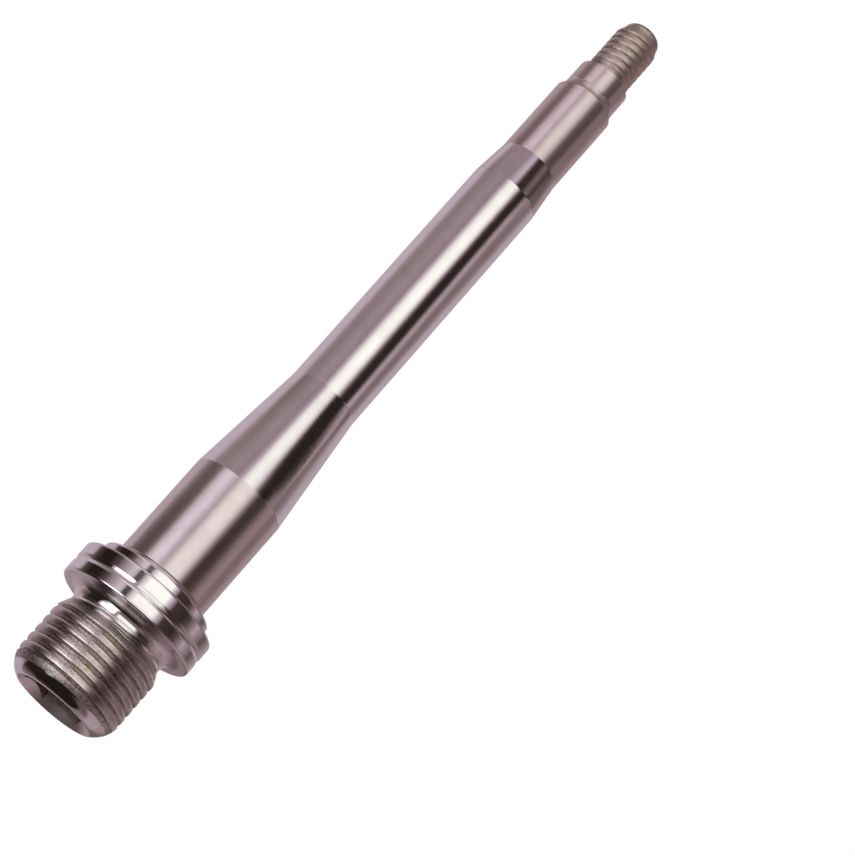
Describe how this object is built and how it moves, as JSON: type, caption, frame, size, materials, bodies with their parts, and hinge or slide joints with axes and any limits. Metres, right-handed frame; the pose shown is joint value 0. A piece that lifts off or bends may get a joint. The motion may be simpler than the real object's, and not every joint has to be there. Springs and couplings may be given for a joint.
{
  "type": "pedal axle",
  "caption": "Left bicycle pedal axle: a turned steel shaft with a left-hand crank thread, a grooved flange, bearing journals, a tapered waist, a nut thread and a hex socket.",
  "frame": {"origin": "centre of the end face at the crank end, where the hex socket opens and on which the axle stands", "axes": "+Z along the axle's axis, from the crank thread towards the nut thread; +X square to one flat of the hex socket"},
  "size_m": [0.018, 0.018, 0.1117],
  "materials": {
    "steel": "polished steel, with satin ground journals and seats"
  },
  "bodies": {
    "root": {"pedal_axle": "steel"}
  },
  "joints": []
}
